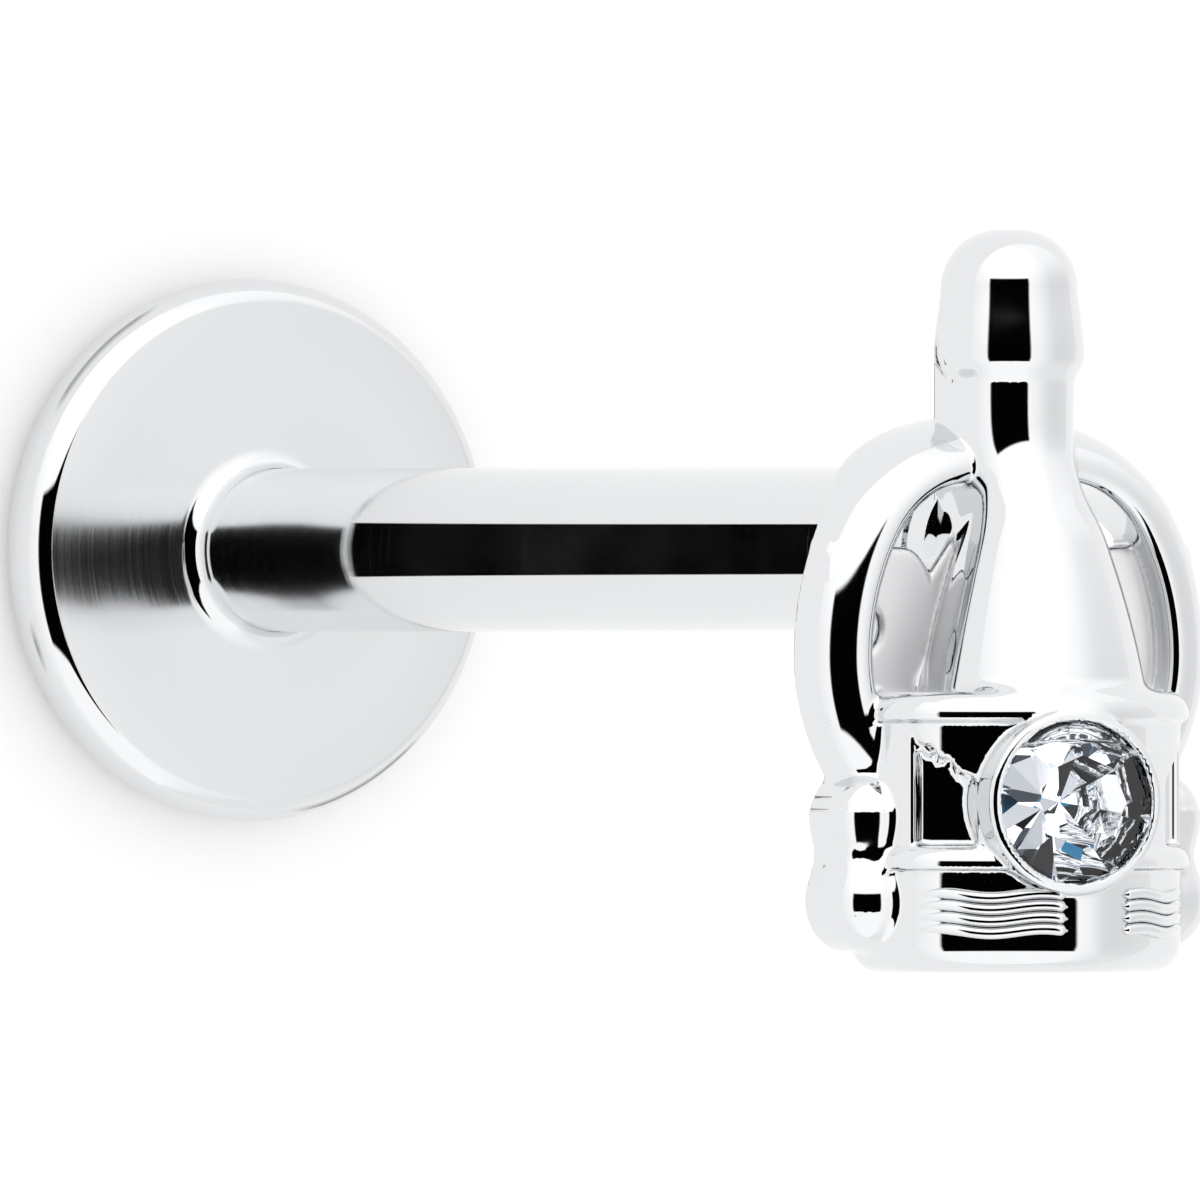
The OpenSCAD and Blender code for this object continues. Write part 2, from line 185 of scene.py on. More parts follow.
# The thin web fills the bail behind the bottle, up to a notched upper edge.
def webSolid(x, y, z):
    w = web
    ax = np.abs(x)

    def line(x1, y1, x2, y2):  # positive on the left of the line
        n = math.hypot(x2 - x1, y2 - y1)
        return ((x2 - x1) * (y - y1) - (y2 - y1) * (ax - x1)) / n

    behind = -line(w["notch"], w["low"], w["notch"] - 0.3, w["top"] + 0.22)
    steep = line(w["notch"], w["low"], w["notch"] + 0.06, w["low"] + 0.11)
    slope = line(w["notch"] + 0.06, w["low"] + 0.11, w["notch"] + 0.16, w["top"] - 0.01)
    flat = line(w["notch"] + 0.16, w["top"] - 0.01, 1.8, w["top"])
    outer = meet(meet(steep, slope, 0.06), flat, 0.06)
    solid = join(outer, np.maximum(behind, y - w["top"] - 0.2), 0.012)
    solid = cut(solid, np.hypot(x + w["holeX"], y - w["holeY"]) - w["hole"], 0.05)
    solid = meet(solid, z - w["depth"], 0.07)
    solid = np.maximum(solid, ax - w["out"])
    return np.maximum(solid, bucket["rim"] - 0.2 - y)


def castLumps(x, y, z):  # uneven cast surface, from 0 to 1
    a = np.sin(31 * x + 4 * y) * np.sin(37 * y - 9 * z) * np.sin(29 * z + 13 * x)
    b = np.sin(67 * x - 11 * z + 1) * np.sin(59 * y + 17 * x) * np.sin(61 * z + 2)
    return 0.5 + 0.5 * np.clip(a + 0.6 * b, -1, 1)


bucket = {
    "wall": 1.2, "depth": 0.25, "rim": -1.02, "foot": -3.04, "rimHeight": 0.22, "rimOut": 0.06,
    "mouth": 0.1, "belt": -2.22, "footRound": 0.21, "flat": 0.038, "flatTurn": 31.0,
    "windowTurn": 54.0, "windowHalf": 0.235, "windowTop": -1.5, "windowSlope": 0.62,
    "windowFoot": -2.13, "windowDepth": 0.13, "windowFacing": 41.0,
    "edgeLumps": 0.07, "ledgeLumps": 0.085,
}


def bucketWall(x, y, z):
    b = bucket
    turn = np.arctan2(np.abs(x), z - b["depth"])
    # the wall is drawn in a little at one turn from its front, and let out again on either side
    aside = np.sqrt(turn**2 + 0.01) - math.radians(b["flatTurn"])
    r = np.hypot(x, z - b["depth"]) + b["flat"] * np.cos(4.8 * np.clip(aside, -0.65, 0.98))
    foot = b["footRound"]
    wall = np.hypot(np.maximum(r - b["wall"] + foot, 0), np.maximum(b["foot"] + foot - y, 0)) - foot
    wall = np.where(r < b["wall"] - foot, np.maximum(b["foot"] - y, r - b["wall"]), wall)
    wall = np.maximum(wall, y - b["rim"] + b["rimHeight"] / 2)
    # the two side windows, with their uneven upper edges
    s = (turn - math.radians(b["windowTurn"])) * b["wall"]
    top = b["windowTop"] + b["windowSlope"] * s
    top = top + b["edgeLumps"] * (castLumps(x * 0.6, y * 0.2, z * 0.6) - 0.5)
    window = meet(np.abs(s) - b["windowHalf"], meet((y - top) * 0.85, b["windowFoot"] - y, 0.06), 0.06)
    ledge = np.exp(-((y - top + 0.02) / 0.07) ** 2)
    facing = math.radians(b["windowFacing"])
    level = np.abs(x) * math.sin(facing) + (z - b["depth"]) * math.cos(facing)
    floor = b["wall"] - b["windowDepth"] - 0.03
    floor = floor + b["ledgeLumps"] * ledge * castLumps(x * 0.8, y * 0.8, z * 0.8)
    wall = cut(wall, meet(window, floor - level, 0.05), 0.045)
    rimR = b["rimHeight"] / 2
    lip = b["wall"] + b["rimOut"]
    # the rim and the belt lean in at their tops and turn under sharply
    v = y - b["rim"] + 0.18
    rim = np.where(v > 0, ellipse(r - lip + 0.16, v, 0.16, 0.18), meet(r - lip, -v - 0.035, 0.04))
    rim = np.where((v > 0) & (r < lip - 0.16), v - 0.18, rim)
    v = y - b["belt"] + 0.05
    belt = np.where(v > 0, ellipse(r - lip + 0.07, v, 0.07, 0.12), meet(r - lip, -v - 0.03, 0.03))
    belt = np.where((v > 0) & (r < lip - 0.07), v - 0.12, belt)
    solid = join(wall, rim, 0.05)
    solid = join(solid, belt, 0.03)
    mouth = np.maximum(r - b["wall"] + rimR, b["rim"] - b["mouth"] - y)
    return cut(solid, mouth, 0.05)


handle = {
    "out": 1.217, "depth": 0.28, "low": -2.54, "pitch": 0.62,
    "topSize": 0.315, "lowSize": 0.355, "waist": 0.285, "lumps": 0.012,
}


# Two bumps on each side, joined by a narrower waist that was left rough
def handleSolid(x, y, z):
    h = handle
    dx = np.abs(x) - h["out"]
    dz = np.maximum(z - h["depth"], 0)
    low = np.sqrt(dx**2 + (y - h["low"]) ** 2 + dz**2) - h["lowSize"]
    high = np.sqrt(dx**2 + (y - h["low"] - h["pitch"]) ** 2 + dz**2) - h["topSize"]
    between = np.abs(y - h["low"] - h["pitch"] / 2) - h["pitch"] / 2
    waist = np.maximum(np.hypot(dx, dz) - h["waist"], between)
    rough = np.exp(-((y - h["low"] - 0.34) / 0.08) ** 2)
    lumps = h["lumps"] * castLumps(x * 0.5, y * 0.5, z * 0.5) * rough
    return join(join(low, waist, 0.09), high, 0.09) + lumps


setting = {
    "stoneY": -1.815, "turn": 9.0, "stone": 0.6, "gap": 0.015, "wall": 0.05, "out": 0.08,
    "crown": 0.17, "pavilion": 0.5, "girdle": 0.04, "table": 0.336, "facets": 8,
}


def atStone(x, y, z):  # place as seen from the stone: along its axis, and off it
    t = math.radians(setting["turn"])
    along = -x * math.sin(t) + (z - bucket["depth"]) * math.cos(t)
    aside = x * math.cos(t) + (z - bucket["depth"]) * math.sin(t)
    return along, np.hypot(aside, y - setting["stoneY"])


# Bucket, handles, web and bail, with the stone's bezel raised and its seat cut
def bucketSolid(x, y, z):
    s = setting
    along, off = atStone(x, y, z)
    bezelR = s["stone"] + s["gap"] + s["wall"]
    top = bucket["wall"] + s["out"]
    bezel = meet(off - bezelR, along - top, 0.05)
    bezel = np.maximum(bezel, 0.3 - along)
    solid = join(bucketWall(x, y, z), handleSolid(x, y, z), 0.07)
    solid = join(solid, webSolid(x, y, z), 0.05)
    solid = join(solid, bezel, 0.035)
    girdle = top - s["crown"] / 2
    inner = s["stone"] + s["gap"]
    slope = s["pavilion"] / inner
    cone = off - inner - (along - girdle + s["girdle"] / 2 + s["gap"]) / slope
    cone = cone * (slope / math.hypot(1, slope))
    lip = off - s["stone"] + s["gap"] * np.clip((along - girdle - 0.03) / 0.02, -1, 1)
    seat = np.maximum(np.maximum(cone, lip), girdle - s["pavilion"] - 0.05 - along)
    solid = cut(solid, seat, 0.012)
    solid = meet(solid, -z, 0.02)
    return join(solid, bailSolid(x, y, z), 0.06)


def slopeOf(field, p, h):
    x, y, z = p.T
    acrossX = field(x + h, y, z) - field(x - h, y, z)
    acrossY = field(x, y + h, z) - field(x, y - h, z)
    acrossZ = field(x, y, z + h) - field(x, y, z - h)
    return np.stack([acrossX, acrossY, acrossZ], axis=1) / (2 * h)


# One point in each cell that the surface crosses, one face for each grid edge that it crosses.
def skin(field, low, high, step):
    axes = [np.arange(a, b + step, step) for a, b in zip(low, high)]
    d = np.empty([len(a) for a in axes])
    for i, xi in enumerate(axes[0]):
        yy, zz = np.meshgrid(axes[1], axes[2], indexing="ij")
        d[i] = field(np.full_like(yy, xi), yy, zz)
    inside = d < 0
    n = np.zeros([s - 1 for s in d.shape], np.int8)
    corners = [(i, j, k) for i in (0, 1) for j in (0, 1) for k in (0, 1)]
    shape = n.shape
    for c in corners:
        n += inside[c[0]:c[0] + shape[0], c[1]:c[1] + shape[1], c[2]:c[2] + shape[2]]
    cells = np.argwhere((n > 0) & (n < 8))
    number = np.full(shape, -1)
    number[tuple(cells.T)] = np.arange(len(cells))
    v = [d[tuple((cells + c).T)] for c in corners]
    total = np.zeros((len(cells), 3))
    count = np.zeros(len(cells))
    for a, ca in enumerate(corners):
        for b, cb in enumerate(corners):
            if a < b and sum(abs(p - q) for p, q in zip(ca, cb)) == 1:
                hit = (v[a] < 0) != (v[b] < 0)
                t = np.where(hit, v[a] / np.where(hit, v[a] - v[b], 1), 0)
                place = np.array(ca) + t[:, None] * (np.array(cb) - np.array(ca))
                total += place * hit[:, None]
                count += hit
    p = (cells + total / count[:, None]) * step + np.array(low)
    # four small steps bring the points onto the surface itself
    for _ in range(4):
        g = slopeOf(field, p, 0.002)
        move = (field(*p.T) / np.maximum((g**2).sum(1), 0.05))[:, None] * g
        p -= np.clip(move, -step / 2, step / 2)
    quads = []
    for axis in range(3):
        one = [slice(1, -1)] * 3
        two = [slice(1, -1)] * 3
        one[axis], two[axis] = slice(0, -1), slice(1, None)
        a, b = inside[tuple(one)], inside[tuple(two)]
        at = np.argwhere(a != b)
        turned = a[tuple(at.T)]
        o1, o2 = [o for o in range(3) if o != axis]
        ring = []
        for s, t in ((0, 0), (1, 0), (1, 1), (0, 1)):
            c = at.copy()
            c[:, o1] += s
            c[:, o2] += t
            ring.append(number[tuple(c.T)])
        q = np.stack(ring, axis=1)
        flip = turned if axis != 1 else ~turned
        q[~flip] = q[~flip][:, ::-1]
        quads.append(q)
    return p, np.concatenate(quads)


# The bottle runs softly into the rim in front and meets the bail with a narrower fillet.
def charmSolid(x, y, z):
    soft = 0.03 + 0.09 * ease((-0.75 - y) / 0.25)
    return join(bottleSolid(x, y, z), bucketSolid(x, y, z), soft)


# Besides its mesh, a cast piece carries how deep in a hollow each point lies, and where it is satin,
# which is also where its colour is painted paler as light.
def castPiece(name, field, low, high, step):
    p, quads = skin(field, low, high, step)
    g = slopeOf(field, p, 0.003)
    g /= np.linalg.norm(g, axis=1)[:, None]
    thing = makeMesh(name, toRow(p), quads, np.stack([-g[:, 1], g[:, 0], g[:, 2]], axis=1))
    hollow = np.zeros(len(p))
    for far in (0.06, 0.14):
        q = p + g * far
        hollow += 0.5 * np.clip(1 - charmSolid(*q.T) / far, 0, 1)
    satin = (np.abs(webSolid(*p.T)) < 0.02) * ease((0.03 - np.abs(p[:, 2] - web["depth"])) / 0.015)
    for label, values in (("recess", hollow), ("satin", satin)):
        mark = thing.data.attributes.new(label, "FLOAT", "POINT")
        mark.data.foreach_set("value", values.astype(np.float32))
    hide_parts("bottle_charm")
    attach(thing, "root")
    print(name, len(p), "points", len(quads), "faces")
    return thing


def arcPoints(cx, cy, r, start, end, steps):
    t = np.radians(np.linspace(start, end, steps))
    return [(cx + r * math.cos(a), cy + r * math.sin(a)) for a in t]


# Turns a half section, given as radius and height in mm, around the post's axis
def turnedPiece(name, section, turns):
    bm = bmesh.new()
    rows = []
    for r, h in section:
        angles = [2 * math.pi * i / turns for i in range(turns)] if r > 1e-6 else [0]
        ring = [(r * mm * math.cos(a), r * mm * math.sin(a), h * mm) for a in angles]
        rows.append([bm.verts.new(place) for place in ring])
    for a, b in zip(rows, rows[1:]):
        for i in range(turns):
            j = (i + 1) % turns
            ring = [a[i % len(a)], a[j % len(a)], b[j % len(b)], b[i % len(b)]]
            ring = [v for k, v in enumerate(ring) if v not in ring[:k]]
            if len(ring) > 2:
                bm.faces.new(ring)
    bmesh.ops.recalc_face_normals(bm, faces=bm.faces)
    for f in bm.faces:
        f.smooth = True
    crease = math.radians(28)
    for e in bm.edges:
        if len(e.link_faces) == 2 and e.calc_face_angle() > crease:
            e.smooth = False
    mesh = bpy.data.meshes.new(name)
    bm.to_mesh(mesh)
    bm.free()
    thing = bpy.data.objects.new(name, mesh)
    bpy.context.scene.collection.objects.link(thing)
    return thing


# Radii and heights in mm
stud = {
    "disc": 2.0, "thick": 0.55, "edge": 0.16, "post": 0.6, "length": 10.0, "fillet": 0.16,
    "chamfer": 0.04, "bore": 0.42, "boreDepth": 2.92,
}


def discAndPost():
    s = stud
    edgeR = ((s["thick"] / 2) ** 2 + s["edge"] ** 2) / (2 * s["edge"])
    edgeX = s["disc"] - edgeR
    half = math.degrees(math.asin(s["thick"] / 2 / edgeR))
    end = s["thick"] + s["length"]
    # the edge between the round and each flat face is barely broken
    flat = s["disc"] - s["edge"] - 0.012
    ring = s["disc"] - s["edge"] - 0.4
    section = [(0, 0), (ring, 0), (flat, 0)]
    section += arcPoints(edgeX, s["thick"] / 2, edgeR, -half + 0.6, half - 0.6, 24)
    section += [(flat, s["thick"]), (ring, s["thick"]), (1.2, s["thick"])]
    section += arcPoints(s["post"] + s["fillet"], s["thick"] + s["fillet"], s["fillet"], 270, 180, 14)
    section += [(s["post"], s["thick"] + 1 + i) for i in range(9)]
    section += [(s["post"], end - s["chamfer"]), (s["post"] - s["chamfer"], end)]
    section += [(s["bore"], end), (s["bore"], end - s["boreDepth"]), (0, end - s["boreDepth"])]
    thing = turnedPiece("disc_and_post_turned", section, 256)
    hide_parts("disc_and_post")
    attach(thing, "root")
    print("disc and post", len(thing.data.polygons), "faces")
    return thing


pin = {
    "length": 2.6, "size": 0.4, "chamfer": 0.04,
    "seam": 0.02, "boss": 0.6, "bossChamfer": 0.015, "reach": 0.27,
}


# The pin hides in the post's bore, and the boss stands between the post's end and the charm.
def bossAndPin():
    p = pin
    base = stud["thick"] + stud["length"]
    tip, seam, inside = base - p["length"], base + p["seam"], base + p["reach"]
    section = [(0, tip), (p["size"] - p["chamfer"], tip), (p["size"], tip + p["chamfer"])]
    section += [(p["size"], seam), (p["boss"] - p["bossChamfer"], seam)]
    section += [(p["boss"], seam + p["bossChamfer"]), (p["boss"], inside), (0, inside)]
    thing = turnedPiece("boss_and_pin", section, 96)
    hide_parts("bottle_charm")
    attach(thing, "root")
    print("boss and pin", len(thing.data.polygons), "faces")
    return thing


# The ribs' own inputs: lengths in metres, turns in degrees round the bucket from its front
ribs = {
    "Count": 4, "Pitch": 0.085 * mm, "Radius": 0.042 * mm, "Wall": 1.195 * mm, "First": 2.485 * mm,
    "Start": 11.0, "Sweep": 54.0, "Wave": 0.017 * mm, "Waves": 9.5, "Taper": 0.045, "Tip": 0.15,
}


def ribTree(material):
    tree = bpy.data.node_groups.new("ribsAroundTheWall", "GeometryNodeTree")
    for name in ribs:
        kind = "NodeSocketInt" if name == "Count" else "NodeSocketFloat"
        tree.interface.new_socket(name=name, in_out="INPUT", socket_type=kind)
    tree.interface.new_socket(name="Geometry", in_out="OUTPUT", socket_type="NodeSocketGeometry")
    new, link = tree.nodes.new, tree.links.new
    given, out = new("NodeGroupInput"), new("NodeGroupOutput")
    arc = new("GeometryNodeCurveArc")
    arc.inputs["Resolution"].default_value = 64
    link(given.outputs["Wall"], arc.inputs["Radius"])
    for name, socket in (("Start", "Start Angle"), ("Sweep", "Sweep Angle")):
        link(maths(new, link, "RADIANS", given.outputs[name], 0), arc.inputs[socket])
    # the ends of each rib taper to a blunt tip
    along = new("GeometryNodeSplineParameter").outputs["Factor"]
    grow = new("ShaderNodeMapRange")
    grow.interpolation_type = "SMOOTHERSTEP"
    link(given.outputs["Taper"], grow.inputs["From Max"])
    link(given.outputs["Tip"], grow.inputs["To Min"])
    link(maths(new, link, "PINGPONG", along, 0.5), grow.inputs["Value"])
    # the casting left them slightly wavy
    swing = maths(new, link, "SINE", maths(new, link, "MULTIPLY", along, given.outputs["Waves"]), 0)
    lift = new("ShaderNodeCombineXYZ")
    link(maths(new, link, "MULTIPLY", swing, given.outputs["Wave"]), lift.inputs["Z"])
    wavy = new("GeometryNodeSetPosition")
    link(arc.outputs["Curve"], wavy.inputs["Geometry"])
    link(lift.outputs[0], wavy.inputs["Offset"])
    ring = new("GeometryNodeCurvePrimitiveCircle")
    ring.inputs["Resolution"].default_value = 20
    link(given.outputs["Radius"], ring.inputs["Radius"])
    sweep = new("GeometryNodeCurveToMesh")
    sweep.inputs["Fill Caps"].default_value = True
    link(wavy.outputs["Geometry"], sweep.inputs["Curve"])
    link(ring.outputs["Curve"], sweep.inputs["Profile Curve"])
    link(grow.outputs["Result"], sweep.inputs["Scale"])
    # stacked down the wall, on both sides
    step = new("ShaderNodeCombineXYZ")
    start = new("ShaderNodeCombineXYZ")
    link(given.outputs["Pitch"], step.inputs["X"])
    link(given.outputs["First"], start.inputs["X"])
    rows = new("GeometryNodeMeshLine")
    link(given.outputs["Count"], rows.inputs["Count"])
    link(start.outputs[0], rows.inputs["Start Location"])
    link(step.outputs[0], rows.inputs["Offset"])
    # the arc is drawn in the XY plane, stood across the bottle and mirrored to the other side
    stand = new("GeometryNodeTransform")
    stand.inputs["Rotation"].default_value = (0, math.radians(-90), 0)
    link(sweep.outputs["Mesh"], stand.inputs["Geometry"])
    other = new("GeometryNodeTransform")
    other.inputs["Scale"].default_value = (1, -1, 1)
    link(stand.outputs["Geometry"], other.inputs["Geometry"])
    flip = new("GeometryNodeFlipFaces")
    link(other.outputs["Geometry"], flip.inputs["Mesh"])
    both = new("GeometryNodeJoinGeometry")
    link(stand.outputs["Geometry"], both.inputs[0])
    link(flip.outputs["Mesh"], both.inputs[0])
    place = new("GeometryNodeInstanceOnPoints")
    link(rows.outputs["Mesh"], place.inputs["Points"])
    link(both.outputs["Geometry"], place.inputs["Instance"])
    real = new("GeometryNodeRealizeInstances")
    link(place.outputs["Instances"], real.inputs["Geometry"])
    soft = new("GeometryNodeSetShadeSmooth")
    link(real.outputs["Geometry"], soft.inputs["Geometry"])
    coat = new("GeometryNodeSetMaterial")
    coat.inputs["Material"].default_value = material
    link(soft.outputs["Geometry"], coat.inputs["Geometry"])
    link(coat.outputs["Geometry"], out.inputs["Geometry"])
    return tree


def wallRibs(material):
    tree = ribTree(material)
    mesh = bpy.data.meshes.new("ribs_start")
    thing = bpy.data.objects.new("ribs_start", mesh)
    bpy.context.scene.collection.objects.link(thing)
    grower = thing.modifiers.new("ribs", "NODES")
    grower.node_group = tree
    for item in tree.interface.items_tree:
        if item.in_out == "INPUT":
            grower[item.identifier] = ribs[item.name]
    thing.update_tag()
    view = bpy.context.evaluated_depsgraph_get()
    made = bpy.data.meshes.new_from_object(thing.evaluated_get(view), depsgraph=view)
    thing.modifiers.remove(grower)
    bpy.data.objects.remove(thing)
    made.name = "bucket_ribs"
    # to the bucket's own axis
    made.transform(Matrix.Translation((0, 0, (charmBack + bucket["depth"]) * mm)))
    done = bpy.data.objects.new("bucket_ribs", made)
    bpy.context.scene.collection.objects.link(done)
    bm = bmesh.new()
    bm.from_mesh(made)
    bmesh.ops.remove_doubles(bm, verts=bm.verts, dist=1e-8)
    bmesh.ops.recalc_face_normals(bm, faces=bm.faces)
    bm.to_mesh(made)
    bm.free()
    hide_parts("bottle_charm")
    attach(done, "root")
    print("ribs", len(made.polygons), "faces")
    return done


def newMaterial(name):
    material = bpy.data.materials.new(name)
    material.use_nodes = True
    tree = material.node_tree
    tree.nodes.clear()
    out = tree.nodes.new("ShaderNodeOutputMaterial")
    shader = tree.nodes.new("ShaderNodeBsdfPrincipled")
    tree.links.new(shader.outputs["BSDF"], out.inputs["Surface"])
    return material, tree.nodes.new, tree.links.new, shader


def mixShaders(new, link, share, first, second):
    node = new("ShaderNodeMixShader")
    link(share, node.inputs["Fac"])
    link(first.outputs[0], node.inputs[1])
    link(second.outputs[0], node.inputs[2])
    return node


# Puts a mix of two shaders on a material, in place of its single one.
def coverWith(material, share, first, second):
    tree = material.node_tree
    out = [n for n in tree.nodes if n.type == "OUTPUT_MATERIAL"][0]
    mix = mixShaders(tree.nodes.new, tree.links.new, share, first, second)
    tree.links.new(mix.outputs[0], out.inputs["Surface"])


def mixColours(new, link, share, first, second):
    node = new("ShaderNodeMix")
    node.data_type = "RGBA"
    link(share, node.inputs["Factor"])
    for socket, value in zip((node.inputs[6], node.inputs[7]), (first, second)):
        if isinstance(value, tuple):
            socket.default_value = value
        else:
            link(value, socket)
    return node.outputs[2]


def spread(new, link, source, low, high, bottom, top):  # Map Range with fixed ends
    node = new("ShaderNodeMapRange")
    for name, value in (("From Min", low), ("From Max", high), ("To Min", bottom), ("To Max", top)):
        node.inputs[name].default_value = value
    link(source, node.inputs["Value"])
    return node.outputs["Result"]


def maths(new, link, kind, a, b):
    node = new("ShaderNodeMath")
    node.operation = kind
    for socket, value in zip(node.inputs, (a, b)):
        if isinstance(value, (int, float)):
            socket.default_value = value
        else:
            link(value, socket)
    return node.outputs[0]


def noise(new, link, coords, scale, detail):
    node = new("ShaderNodeTexNoise")
    node.inputs["Scale"].default_value = scale
    node.inputs["Detail"].default_value = detail
    link(coords, node.inputs["Vector"])
    return node.outputs["Fac"]


steel = {
    "colour": (0.74, 0.75, 0.76, 1), "polish": 0.025, "worn": 0.05, "lapped": 0.125,
    "patches": 900, "lines": 9000, "lineDepth": 0.002 * mm,
}


def polishedSteel():
    material, new, link, shader = newMaterial("polishedSteel")
    shader.inputs["Metallic"].default_value = 1
    shader.inputs["Base Color"].default_value = steel["colour"]
    place = new("ShaderNodeTexCoord").outputs["Object"]
    split = new("ShaderNodeSeparateXYZ")
    link(place, split.inputs[0])
    # turning lines run round the piece, so the pattern is drawn on radius and height
    squareX = maths(new, link, "POWER", split.outputs[0], 2)
    squareY = maths(new, link, "POWER", split.outputs[1], 2)
    radius = maths(new, link, "POWER", maths(new, link, "ADD", squareX, squareY), 0.5)
    lines = new("ShaderNodeCombineXYZ")
    link(maths(new, link, "MULTIPLY", radius, 12), lines.inputs[0])
    link(maths(new, link, "MULTIPLY", split.outputs[2], 12), lines.inputs[1])
    fine = noise(new, link, lines.outputs[0], steel["lines"], 3)
    patches = noise(new, link, place, steel["patches"], 4)
    polish = spread(new, link, patches, 0.35, 0.75, steel["polish"], steel["worn"])
    # the two flat faces of the disc are lapped, not mirror-polished
    levels = []
    for height in (stud["thick"] * mm, 0.0):
        levels.append(maths(new, link, "COMPARE", split.outputs[2], height))
        levels[-1].node.inputs[2].default_value = 0.004 * mm
    within = maths(new, link, "LESS_THAN", radius, (stud["disc"] - stud["edge"] - 0.005) * mm)
    onFace = maths(new, link, "MULTIPLY", maths(new, link, "ADD", *levels), within)
    lapped = spread(new, link, fine, 0.3, 0.7, steel["lapped"] - 0.02, steel["lapped"] + 0.03)
    mixed = new("ShaderNodeMix")
    link(onFace, mixed.inputs["Factor"])
    link(polish, mixed.inputs[2])
    link(lapped, mixed.inputs[3])
    link(mixed.outputs[0], shader.inputs["Roughness"])
    bump = new("ShaderNodeBump")
    bump.inputs["Strength"].default_value = 0.05
    bump.inputs["Distance"].default_value = steel["lineDepth"]
    link(fine, bump.inputs["Height"])
    link(bump.outputs["Normal"], shader.inputs["Normal"])
    return material


cast = {
    "colour": (0.745, 0.755, 0.765, 1), "polish": 0.03, "worn": 0.06, "recess": 0.16, "web": 0.5,
    "hollowColour": (0.62, 0.62, 0.63, 1), "webPaintedLight": (0.95, 0.95, 0.96, 1),
    "patches": 1300, "grain": 14000, "grainDepth": 0.008 * mm,
}


def castMetal():
    material, new, link, shader = newMaterial("castMetal")
    shader.inputs["Metallic"].default_value = 1
    place = new("ShaderNodeTexCoord").outputs["Object"]
    mark = new("ShaderNodeAttribute")
    mark.attribute_name = "recess"
    deep = spread(new, link, mark.outputs["Fac"], 0.35, 0.85, 0, 1)
    patches = noise(new, link, place, cast["patches"], 4)
    grain = noise(new, link, place, cast["grain"], 3)
    polish = spread(new, link, patches, 0.35, 0.75, cast["polish"], cast["worn"])
    mixed = new("ShaderNodeMix")
    link(deep, mixed.inputs["Factor"])
    link(polish, mixed.inputs[2])
    mixed.inputs[3].default_value = cast["recess"]
    # the thin web behind the bottle is left as cast, with a satin face
    plain = new("ShaderNodeAttribute")
    plain.attribute_name = "satin"
    satin = new("ShaderNodeMix")
    link(plain.outputs["Fac"], satin.inputs["Factor"])
    link(mixed.outputs[0], satin.inputs[2])
    satin.inputs[3].default_value = cast["web"]
    link(satin.outputs[0], shader.inputs["Roughness"])
    # dull grey stays in the hollows that a polishing wheel doesn't reach
    dull = maths(new, link, "MULTIPLY", deep, grain)
    tone = mixColours(new, link, dull, cast["colour"], cast["hollowColour"])
    # painted light: the satin web gets a paler copy of the metal's colour, to lift it out of the shade
    # of the bottle and rim
    tone = mixColours(new, link, plain.outputs["Fac"], tone, cast["webPaintedLight"])
    link(tone, shader.inputs["Base Color"])
    bump = new("ShaderNodeBump")
    bump.inputs["Distance"].default_value = cast["grainDepth"]
    link(spread(new, link, deep, 0, 1, 0.01, 0.3), bump.inputs["Strength"])
    link(grain, bump.inputs["Height"])
    link(bump.outputs["Normal"], shader.inputs["Normal"])
    return material


gem = {
    "colour": (1, 1, 1, 1), "bend": 1.5, "foil": (0.97, 0.98, 1.0, 1),
    "film": 320.0, "filmBend": 1.4, "rubbed": 0.015,
}


# Clear glass over a silvered back, as a small set crystal has it
def clearStone():
    material, new, link, shader = newMaterial("clearStone")
    shader.inputs["Base Color"].default_value = gem["colour"]
    shader.inputs["Transmission Weight"].default_value = 1
    shader.inputs["IOR"].default_value = gem["bend"]
    place = new("ShaderNodeTexCoord").outputs["Object"]
    rubbed = spread(new, link, noise(new, link, place, 5000, 2), 0.3, 0.7, 0.0, gem["rubbed"])
    link(rubbed, shader.inputs["Roughness"])
    foil = new("ShaderNodeBsdfPrincipled")
    foil.inputs["Metallic"].default_value = 1
    foil.inputs["Base Color"].default_value = gem["foil"]
    foil.inputs["Roughness"].default_value = 0.01
    foil.inputs["Thin Film Thickness"].default_value = gem["film"]
    foil.inputs["Thin Film IOR"].default_value = gem["filmBend"]
    # height along the stone's own axis, from its girdle
    turn = math.radians(setting["turn"])
    axis = new("ShaderNodeVectorMath")
    axis.operation = "DOT_PRODUCT"
    axis.inputs[1].default_value = (0, -math.sin(turn), math.cos(turn))
    link(place, axis.inputs[0])
    girdle = bucket["wall"] + setting["out"] - setting["crown"] / 2
    level = ((charmBack + bucket["depth"]) * math.cos(turn) + girdle - setting["girdle"] * 0.75) * mm
    back = maths(new, link, "LESS_THAN", axis.outputs["Value"], level)
    coverWith(material, back, shader, foil)
    return material


